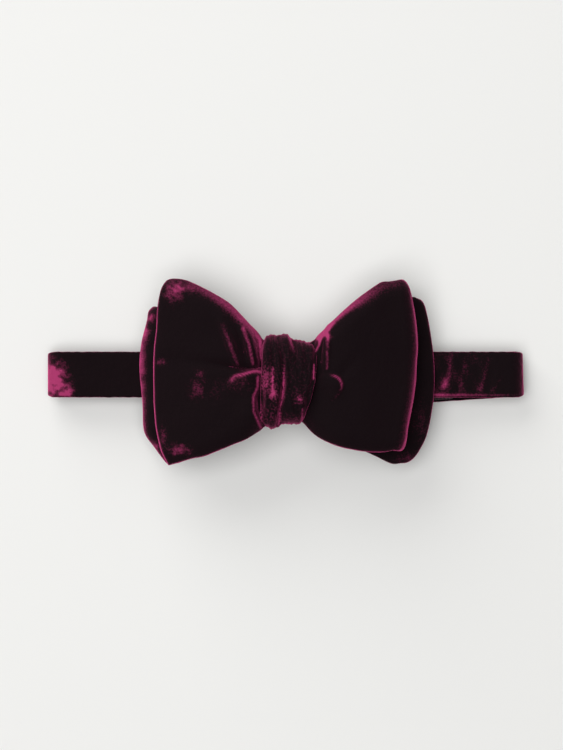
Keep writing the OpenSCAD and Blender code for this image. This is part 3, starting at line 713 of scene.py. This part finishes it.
def knot_shape(around=280, across=130, under=30):
    """Points and faces of the padded ring that holds the bow's waist, with its gathered rolls in front."""
    s = np.linspace(0, 2 * math.pi, around, endpoint=False)[:, None]
    w = np.concatenate([np.linspace(0, 1, across), np.linspace(1, 0, under + 2)[1:-1]])[None]
    inner = np.concatenate([np.zeros(across), np.ones(under)])[None]
    knot_w, edge_roll, squareness = 26, 4.2, 0.62
    rise = roll(np.minimum(w, 1 - w) * knot_w, edge_roll)
    top = np.interp(w, [0, 0.08, 0.2, 0.3, 0.4, 0.47, 0.53, 0.8, 1],
                    [14.2, 16.4, 16.6, 16, 17, 16.8, 14.9, 13.5, 12.6])
    low = np.interp(w, [0, 0.1, 0.16, 0.3, 0.42, 0.52, 0.9, 1],
                    [-23.6, -24.2, -23.6, -25.1, -24.2, -22.8, -22.9, -22])
    deep = np.where(inner > 0, 6.5, 7.5 * (1 - rise) * 0.62)
    high, base = KNOT_HIGH[2] - 0.6, KNOT_LOW[2] + 0.3
    centre_y, half_y = (top + low) / 2, (top - low) / 2 - deep * 0.5
    centre_z, half_z = (high + base) / 2, (high - base) / 2 - deep * 0.42
    c, d = np.cos(s), np.sin(s)
    y = centre_y + half_y * np.sign(c) * np.abs(c) ** squareness
    z = centre_z + half_z * np.sign(d) * np.abs(d) ** squareness
    left = np.interp(y, [-24, -17, -3.4, 3, 15], [-12.2, -11.1, -10.8, -10.4, -10.3])
    right = np.interp(y, [-22.5, -17.3, -12.1, -3.4, 5.3, 13], [7.8, 9, 11, 13, 13.6, 13.6])
    x = left + w * (right - left)
    h = -ridge(x, y, [(-4.2, 18), (-3.2, 13), (-1.4, 7), (-0.8, -5), (-2.2, -14), (-3.2, -26)],
               [1.5, 1.2, 1, 2.2, 2.4, 2.6], [1.3, 1.2, 1, 1, 1, 1.2])
    h += ridge(x, y, [(0.3, 6), (0.5, -5), (-0.8, -14)], [0.6, 1, 0.5], [0.9])
    h -= ridge(x, y, [(2.4, 17), (3.6, 12), (4.8, 7), (5, 2)], [2, 1.6, 0.8, 0.1], [1, 1.1, 1, 1])
    h -= ridge(x, y, [(-6.6, 18), (-5.6, 10), (-5.4, 2)], [1.2, 0.6, 0.3], [1.2, 1.3, 1.3])
    h -= ridge(x, y, [(12.6, 9), (12.1, -1), (9.6, -12), (6.7, -24)], [0.8, 1.1, 0.9, 0.8],
               [0.9, 0.8, 0.9, 1])
    h -= ridge(x, y, [(-9.9, 1), (-10, -8), (-10.2, -25)], [0.6, 1.4, 1.4], [0.8, 0.9, 0.8])
    h += 0.10 * np.sin(x * 3.1 + 0.35 * y + 3 * ripples(x, y, 9, 4)) + 0.6 * ripples(x * 1.8, y * 0.5, 8, 6)
    crushed = bulge(x, y, (-6.5, -4), (3.6, 6), 1) + bulge(x, y, (6, -12), (2.5, 3), 0.7)
    h += crushed * (0.55 * ripples(x, y, 2.2, 3) + 0.35 * ripples(x, y, 1.3, 8))
    z = z + ease((z - 30) / 5) * (1 - inner) * h
    side = ease((np.abs(y - centre_y) / half_y - 0.75) / 0.2) * (1 - inner)
    y = y + side * np.sign(c) * 0.35 * ripples(x * 2.2, z * 0.4, 5, 2)
    m = across + under
    faces = [(i * m + j, i * m + (j + 1) % m, (i + 1) % around * m + (j + 1) % m, (i + 1) % around * m + j)
             for i in range(around) for j in range(m)]
    # Base colour of the knot: crushed pile, a little lighter from y = -16 mm upwards (fully by y = -8 mm), and
    # painted highlight lines.
    pile_and_painted_sheen = 0.3 * crushed + 0.1 * ease((y + 16) / 8) + pile(x, y, KNOT_PATCHES, KNOT_PAINTED_HIGHLIGHTS)
    behind = 20
    return np.stack([x, y, z], 2).reshape(-1, 3), faces, (pile_and_painted_sheen * (z > behind)).ravel()


class BOWTIE_OT_knot(bpy.types.Operator):
    """Knot: a padded, gathered wrap round the waist of the bow"""
    bl_idname = "bowtie.knot"
    bl_label = "Knot"

    def execute(self, context):
        vertices, faces, pile_and_painted_sheen = knot_shape()
        material = velvet_material(context.scene.bow_tie_colours, crushed=True)
        knot = make_mesh("velvet_knot", vertices, faces, material, pile_and_painted_sheen)
        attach(knot, "root")
        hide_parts("knot_wrap", "knot_interlining", "knot_padding")
        return {"FINISHED"}


# ---------- The neckband ----------

def loop_route(side, start_x, end_x, outer, step=1.0):
    """X-Z points of one layer of the neckband, outer millimetres in from its outside."""
    turn_x = side * FOLD_X
    radius = LOOP_R - outer
    front = np.arange(start_x, turn_x, side * step)
    angles = np.linspace(math.pi / 2, -math.pi / 2, 25)
    back = np.arange(turn_x, end_x, -side * step)[1:]
    x = np.concatenate([front, turn_x + side * radius * np.cos(angles), back, [end_x]])
    z = np.concatenate([np.full(len(front), LOOP_R + radius), LOOP_R + radius * np.sin(angles),
                        np.full(len(back) + 1, LOOP_R - radius)])
    return x, z


def strip_grid(x, z, width, rows, skewed):
    """Middle points of a strip along an X-Z route, each turned by its share (skewed) of the skew."""
    y = BAND_Y + (rows - 0.5) * width
    grid = np.stack(np.broadcast_arrays(x[:, None], y[None], z[:, None]), 2)
    if np.any(skewed):
        angle = SKEW * skewed[:, None]
        c, s = np.cos(angle), np.sin(angle)
        dx, dy = grid[..., 0] - FOLD_X, grid[..., 1] - BAND_Y
        grid[..., 0] = FOLD_X + dx * c - dy * s
        grid[..., 1] = BAND_Y + dx * s + dy * c
    return grid


# Lighter patches on the neckband: painted sheen round the left fold, and a patch of brushed pile on the right
# front run.
STRAP_PILE_AND_SHEEN_PATCHES = (
    ((-104.5, -3), (6.5, 7), 1.7, 3), ((-96.5, -9), (2.6, 3.6), 1, 5), ((69, -7), (4, 4), 0.25, 6),
)
# Painted highlight lines along the wrinkles of the right front run, with the strength of each.
STRAP_WRINKLE_HIGHLIGHTS = (
    ([(73.4, 9), (72.9, 3), (72.3, -1.8), (70.1, -6.2)], 0.55),
    ([(80.1, 7), (79, 1.6), (77.9, -4), (77, -9)], 0.25),
    ([(90.1, 6), (89, 2), (87.9, -2.9), (86.5, -7.5)], 0.5),
    ([(95.6, -2.3), (93.4, -6.2), (91.7, -8)], 0.35),
)
# Each crease across the right front run: its place, how far it leans, and its height
STRAP_CREASES = ((70.8, 0.6, 0.5), (74.6, 1.2, 0.6), (87.2, 0.8, 0.55), (92.7, 1.6, 0.35))


def strap_pile_and_highlights(x, y, z):
    """How brushed the pile of the neckband is at each point, with painted sheen at its left fold and painted
    highlights along its wrinkles and lower edge.
    """
    low_edge = [(65, -10.1), (80, -10.1), (95, -10.1), (104, -10.1)]
    # A painted highlight line along the lower edge of the right front run, then the wrinkle highlights.
    strokes = [(low_edge, [0.7, 0.65, 0.5, 0.3], [0.7, 0.6])]
    strokes += [(line, np.multiply(strength, [0.35, 0.6, 0.6, 1]), [0.9, 0.8, 0.8, 1.2])
                for line, strength in STRAP_WRINKLE_HIGHLIGHTS]
    # A faint lighter tone over the right front run, fading out before its fold.
    pile_and_painted_sheen = 0.22 * ease((98 - x) / 20) * (x > 0) * (0.7 + ripples(x, y, 7, 4))
    back_run = 6
    return (pile_and_painted_sheen + pile(x, y, STRAP_PILE_AND_SHEEN_PATCHES, strokes)) * (z > back_run)


def strap_grid(side, x, z, width):
    """Middle points of one layer of the neckband, drawn in and rippled a little."""
    skewed = ease((LOOP_R + 4 - z) / 8) if side > 0 else np.zeros(len(x))
    grid = strip_grid(x, z, width, close_rows(40, 0.8), skewed)
    turned = np.clip((np.abs(x) - FOLD_X - LOOP_R * 0.55) / (LOOP_R * 0.45), 0, 1)[:, None]
    grid[..., 1] += (BAND_Y - grid[..., 1]) * 0.11 * turned ** 2
    grid[..., 1] += 0.12 * ripples(grid[..., 0], 0.1 * grid[..., 1], 4, 6)
    gx, gy = grid[..., 0], grid[..., 1]
    lift = 0.12 * ripples(gx, gy, 12, 9)
    if side > 0:
        for place, lean, height in STRAP_CREASES:
            lift = lift + ridge(gx, gy, [(place, 8), (place + lean, -1), (place - lean, -10)],
                                [0.2, height, 0.3], [0.8, 0.9, 0.8])
    on_front = (z > LOOP_R)[:, None] * ease((np.abs(gx) - 60) / 8) * ease((FOLD_X + 2 - np.abs(gx)) / 6)
    grid[..., 2] += on_front * lift
    return grid


def make_strap(side, colours):
    """The velvet and the lining of one half of the neckband, from the knot to the end of its tail."""
    name = "right" if side > 0 else "left"
    low, high = corners(name + "_tail_velvet")
    end_x = low[0] if side > 0 else high[0]
    velvet_t, lining_t, hem_t, hem_roll, lining_inset = 1.6, 0.4, 0.7, 1.1, 1.5
    x, z = loop_route(side, side * 4, end_x, velvet_t / 2)
    grid = strap_grid(side, x, z, BAND_W)
    thickness = hem_t + (velvet_t - hem_t) * roll(seam_distance(grid), hem_roll)
    vertices, faces = thick_sheet(grid, thickness, lip=0.15)
    velvet = make_mesh(name + "_strap_velvet", vertices, faces, velvet_material(colours),
                       strap_pile_and_highlights(*vertices.T))
    x, z = loop_route(side, side * 4, end_x + side, velvet_t + lining_t / 2)
    lining_w = BAND_W - 2 * lining_inset
    grid = strap_grid(side, x, z, lining_w)
    vertices, faces = thick_sheet(grid, np.full(grid.shape[:2], lining_t), lip=0.15)
    lining = make_mesh(name + "_strap_lining", vertices, faces, lining_material())
    parts = [name + "_fold", name + "_tail"] + (["band"] if side < 0 else [])
    layers_of = {"velvet": (velvet, ("velvet", "interlining")), "lining": (lining, ("lining",))}
    for slot, (piece, layers) in layers_of.items():
        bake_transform(piece)
        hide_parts(*(f"{part}_{layer}" for part in parts for layer in layers))


class BOWTIE_OT_neckband(bpy.types.Operator):
    """Neckband: velvet outside and satin lining inside, on both sides of the knot"""
    bl_idname = "bowtie.neckband"
    bl_label = "Neckband"

    def execute(self, context):
        for side in (-1, 1):
            make_strap(side, context.scene.bow_tie_colours)
        return {"FINISHED"}


# ---------- Ribbons of the closure ----------

RIBBON_T = 0.7
RIBBON_W = 18.0
BAR_R = 0.7
SLIDER_X, HOOK_X, EYE_X = 34.0, 12.0, -26.0  # the bars that the ribbons go round, before the skew
SLIDER_Z, HOOK_Z, EYE_Z = 2.5, 1.6, 1.95
LOW_Z, UP_Z, TAIL_Z, OVER_Z = 0.45, 1.3, 2.4, 4.5  # lower run, upper run, on the tail, over the middle bar
WAVE_L = 9.0  # half the length of the run that goes over the slider
TURN_R = 1.15  # middle of the ribbon where it goes round a bar


def half_turn(x, z, radius, start, end, n=14):
    """Points of an arc in X-Z."""
    a = np.radians(np.linspace(start, end, n))
    return [(x + radius * math.cos(t), z + radius * math.sin(t)) for t in a]


def make_ribbon(name, route, nodes, skewed=1):
    """A run of ribbon along an X-Z route, in place of the frame's nodes."""
    x, z = spline(route, max(24, len(route) * 5)).T
    grid = strip_grid(x, z, RIBBON_W, np.linspace(0, 1, 15), np.full(len(x), skewed))
    vertices, faces = thick_sheet(grid, np.full(grid.shape[:2], RIBBON_T), lip=0.12)
    ribbon = make_mesh(name, vertices, faces, ribbon_material())
    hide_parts(*nodes)
    return ribbon


class BOWTIE_OT_ribbons(bpy.types.Operator):
    """Ribbons: the eye's tab, and the adjuster's ribbon from its seam to its sewn end"""
    bl_idname = "bowtie.ribbons"
    bl_label = "Ribbons"

    def execute(self, context):
        over_tail = TAIL_Z + RIBBON_T
        route = [(-43, over_tail), (-34, over_tail)] + half_turn(EYE_X, EYE_Z, TURN_R, 90, -90)
        route += [(-29, 1.2), (-34, TAIL_Z - 0.1), (-36, TAIL_Z), (-43, TAIL_Z)]
        tab = make_ribbon("eye_tab_ribbon", route, ["eye_tab"], skewed=0)
        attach(tab, "left_tail")

        slider_end, hook_end = SLIDER_X + WAVE_L, SLIDER_X - WAVE_L
        route = [(slider_end, UP_Z), (48, UP_Z), (52, UP_Z), (56, 1.5), (61, 2.2), (64, TAIL_Z), (69, TAIL_Z),
                 (74, TAIL_Z)]
        fixed = make_ribbon("adjuster_ribbon", route, ["ribbon_fixed_run"])
        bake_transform(fixed)

        run = 4.9
        route = [(hook_end, UP_Z), (SLIDER_X - run - 1, UP_Z)]
        route += [(SLIDER_X + t * run, UP_Z + (OVER_Z - UP_Z) * ease(1 - abs(t)))
                  for t in np.linspace(-1, 1, 17)]
        route += [(SLIDER_X + run + 1, UP_Z), (slider_end, UP_Z)]
        wave = make_ribbon("slider_ribbon", route, ["ribbon_slider_wave"])
        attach(wave, "slider")

        route = [(hook_end, LOW_Z), (SLIDER_X - 5, LOW_Z), (SLIDER_X - 2.5, 0.9)]
        route += half_turn(SLIDER_X, SLIDER_Z, TURN_R, -90, 160, 24)
        sewn = make_ribbon("ribbon_sewn_turn", route, ["ribbon_sewn_end"])
        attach(sewn, "slider")

        route = [(hook_end, UP_Z), (21, 1.5), (16, 2.4)] + half_turn(HOOK_X, HOOK_Z, TURN_R, 90, 270)
        route += [(16, LOW_Z), (hook_end, LOW_Z)]
        loop = make_ribbon("hook_ribbon", route, ["ribbon_turn", "ribbon_upper_run", "ribbon_lower_run"])
        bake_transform(loop)
        return {"FINISHED"}


# ---------- Metal pieces of the closure ----------

RAIL_IN, RAIL_OUT = 9.3, 10.9
LOW_Y, HIGH_Y = BAND_Y - RAIL_OUT, BAND_Y + RAIL_OUT
IN_LOW, IN_HIGH = BAND_Y - RAIL_IN, BAND_Y + RAIL_IN


def go(mode):
    """Enters edit mode or object mode."""
    bpy.ops.object.mode_set(mode=mode)


def cut_plate(name, low_x, high_x, z, windows):
    """A flat frame as wide as the rails, with windows (low x, high x) cut out of it between them."""
    along_x, along_y = (1, 0, 0), (0, 1, 0)
    bpy.ops.object.select_all(action="DESELECT")
    centre = ((high_x + low_x) / 2 * MM, (HIGH_Y + LOW_Y) / 2 * MM, z * MM)
    bpy.ops.mesh.primitive_plane_add(size=1, location=centre)
    plate = bpy.context.active_object
    plate.name = name
    plate.scale = ((high_x - low_x) * MM, (HIGH_Y - LOW_Y) * MM, 1)
    bpy.ops.object.transform_apply(location=True, rotation=True, scale=True)
    go("EDIT")
    for left, right in windows:
        for value, normal in ((left, along_x), (right, along_x), (IN_LOW, along_y), (IN_HIGH, along_y)):
            bpy.ops.mesh.select_all(action="SELECT")
            bpy.ops.mesh.bisect(plane_co=[value * MM * way for way in normal], plane_no=normal)
    bpy.ops.mesh.select_all(action="DESELECT")
    go("OBJECT")
    for face in plate.data.polygons:
        x, y = face.center[0] / MM, face.center[1] / MM
        face.select = IN_LOW < y < IN_HIGH and any(left < x < right for left, right in windows)
    go("EDIT")
    bpy.ops.mesh.delete(type="FACE")
    go("OBJECT")
    return plate


def finish_metal(obj, body, thick, bevel, skewed):
    """Thickens a plate, rounds its edges, turns it with the back run, and puts it in its node's place."""
    bpy.ops.object.select_all(action="DESELECT")
    obj.select_set(True)
    bpy.context.view_layer.objects.active = obj
    wall = obj.modifiers.new("thickness", "SOLIDIFY")
    wall.thickness = thick * MM
    wall.offset = 0
    bpy.ops.object.modifier_apply(modifier=wall.name)
    rounding = obj.modifiers.new("bevel", "BEVEL")
    rounding.width = bevel * MM
    rounding.segments = 3
    rounding.limit_method = "ANGLE"
    bpy.ops.object.modifier_apply(modifier=rounding.name)
    if skewed:
        bpy.ops.transform.rotate(value=-SKEW, orient_axis="Z", center_override=(FOLD_X * MM, BAND_Y * MM, 0))
    bpy.ops.object.transform_apply(location=True, rotation=True, scale=True)
    bpy.ops.object.shade_smooth_by_angle(angle=math.radians(40))
    obj.data.materials.append(metal_material())
    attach(obj, body)
    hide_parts(body)


def make_hook():
    """The hook: a frame round the ribbon's end, and a tongue that bends back over itself."""
    frame_end, tongue_w, bend_r, reach, point_l = HOOK_X - 6.5, 9.0, 1.1, 11.0, 3.5
    hook = cut_plate("metal_hook", frame_end, HOOK_X + BAR_R, HOOK_Z, [(HOOK_X - 4, HOOK_X - BAR_R)])
    go("EDIT")
    for value in (BAND_Y - tongue_w / 2, BAND_Y + tongue_w / 2):
        bpy.ops.mesh.select_all(action="SELECT")
        bpy.ops.mesh.bisect(plane_co=(0, value * MM, 0), plane_no=(0, 1, 0))
    bpy.ops.mesh.select_all(action="DESELECT")
    bpy.ops.mesh.select_mode(type="EDGE")
    go("OBJECT")
    for edge in hook.data.edges:
        middle = sum((hook.data.vertices[v].co for v in edge.vertices), Vector()) / 2 / MM
        edge.select = bool(abs(middle.x - frame_end) < 0.01 and abs(middle.y - BAND_Y) < tongue_w / 2)
    go("EDIT")
    route = [(frame_end, HOOK_Z), (HOOK_X - reach, HOOK_Z)]
    route += half_turn(HOOK_X - reach, HOOK_Z + bend_r, bend_r, -90, -270, 8)[1:]
    route.append((HOOK_X - reach + point_l, HOOK_Z + 2 * bend_r))
    for (x0, z0), (x1, z1) in zip(route, route[1:]):
        step = ((x1 - x0) * MM, 0, (z1 - z0) * MM)
        bpy.ops.mesh.extrude_region_move(TRANSFORM_OT_translate={"value": step})
    bpy.ops.mesh.select_mode(type="VERT")
    go("OBJECT")
    finish_metal(hook, "hook", 1.0, 0.35, True)


class BOWTIE_OT_metal(bpy.types.Operator):
    """Metal: the eye, the adjuster's slider and the hook"""
    bl_idname = "bowtie.metal"
    bl_label = "Hook, Eye and Slider"

    def execute(self, context):
        eye_l, far_rail_w, half_slider, bar_pitch = 11, 2, 7, 6
        eye = cut_plate("metal_eye", EYE_X - BAR_R, EYE_X + eye_l, EYE_Z,
                        [(EYE_X + BAR_R, EYE_X + eye_l - far_rail_w)])
        finish_metal(eye, "eye", 1.2, 0.45, False)
        windows = [(SLIDER_X - bar_pitch + BAR_R, SLIDER_X - BAR_R),
                   (SLIDER_X + BAR_R, SLIDER_X + bar_pitch - BAR_R)]
        slider = cut_plate("metal_slider", SLIDER_X - half_slider, SLIDER_X + half_slider, SLIDER_Z, windows)
        finish_metal(slider, "slider", 1.5, 0.5, True)
        make_hook()
        return {"FINISHED"}


class BOWTIE_OT_stitches(bpy.types.Operator):
    """Stitches: the thread that tacks the knot and sews the ribbons down"""
    bl_idname = "bowtie.stitches"
    bl_label = "Stitches"

    def execute(self, context):
        for name in ("knot_tack_stitches", "eye_tab_stitches", "ribbon_stitches"):
            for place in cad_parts[name].material_slots:
                place.material = thread_material()
        return {"FINISHED"}


class BOWTIE_OT_stage(bpy.types.Operator):
    """Floor, lights and camera"""
    bl_idname = "bowtie.stage"
    bl_label = "Stage"

    def execute(self, context):
        stage = context.scene.bow_tie_stage
        bpy.ops.object.select_all(action="DESELECT")
        bpy.ops.mesh.primitive_plane_add(size=6, location=(0, 0, 0))
        floor = context.active_object
        floor.name = "floor"
        floor.data.materials.append(floor_material())
        world = context.scene.world or bpy.data.worlds.new("world")
        context.scene.world = world
        world.use_nodes = True
        background = world.node_tree.nodes["Background"]
        background.inputs["Color"].default_value = (1, 1, 1, 1)
        background.inputs["Strength"].default_value = 0.14
        add_lamp(context, "key", (-1.2, 1.95, 1.05), 2.3, 44, (1, 0.99, 0.97))
        add_lamp(context, "overhead", (-0.35, -0.15, 2.4), 1.9, 46, (1, 1, 1))
        camera = bpy.data.objects.new("camera", bpy.data.cameras.new("camera"))
        context.scene.collection.objects.link(camera)
        camera.location = (-0.0018, -0.0012, stage.camera_height)
        camera.data.sensor_fit = "VERTICAL"
        camera.data.sensor_height = 36
        camera.data.lens = stage.lens
        context.scene.camera = camera
        context.scene.view_settings.view_transform = "Standard"
        return {"FINISHED"}


def add_lamp(context, name, place, size, power, colour):
    """A square lamp that points at the bow."""
    lamp = bpy.data.objects.new(name, bpy.data.lights.new(name, "AREA"))
    lamp.data.size = size
    lamp.data.energy = power
    lamp.data.color = colour
    lamp.location = place
    lamp.rotation_euler = (-Vector(place)).to_track_quat("-Z", "Y").to_euler()
    context.scene.collection.objects.link(lamp)


class BOWTIE_PT_panel(bpy.types.Panel):
    """Lists the pieces of the bow tie"""
    bl_label = "Bow Tie"
    bl_idname = "BOWTIE_PT_panel"
    bl_space_type = "VIEW_3D"
    bl_region_type = "UI"
    bl_category = "Bow Tie"

    def draw(self, context):
        for operator in OPERATORS:
            self.layout.operator(operator.bl_idname)


OPERATORS = (BOWTIE_OT_stage, BOWTIE_OT_front_blade, BOWTIE_OT_rear_blade, BOWTIE_OT_knot, BOWTIE_OT_neckband,
             BOWTIE_OT_ribbons, BOWTIE_OT_metal, BOWTIE_OT_stitches)
CLASSES = (BowTieSizes, BowTieColours, BowTieStage) + OPERATORS + (BOWTIE_PT_panel,)


def register():
    for cls in CLASSES:
        bpy.utils.register_class(cls)
    bpy.types.Scene.bow_tie_sizes = bpy.props.PointerProperty(type=BowTieSizes)
    bpy.types.Scene.bow_tie_colours = bpy.props.PointerProperty(type=BowTieColours)
    bpy.types.Scene.bow_tie_stage = bpy.props.PointerProperty(type=BowTieStage)


def unregister():
    del bpy.types.Scene.bow_tie_stage
    del bpy.types.Scene.bow_tie_colours
    del bpy.types.Scene.bow_tie_sizes
    for cls in reversed(CLASSES):
        bpy.utils.unregister_class(cls)


def main():
    register()
    bpy.ops.bowtie.stage()
    bpy.ops.bowtie.front_blade()
    bpy.ops.bowtie.rear_blade()
    bpy.ops.bowtie.knot()
    bpy.ops.bowtie.neckband()
    bpy.ops.bowtie.ribbons()
    bpy.ops.bowtie.metal()
    bpy.ops.bowtie.stitches()


if __name__ == "__main__":
    main()
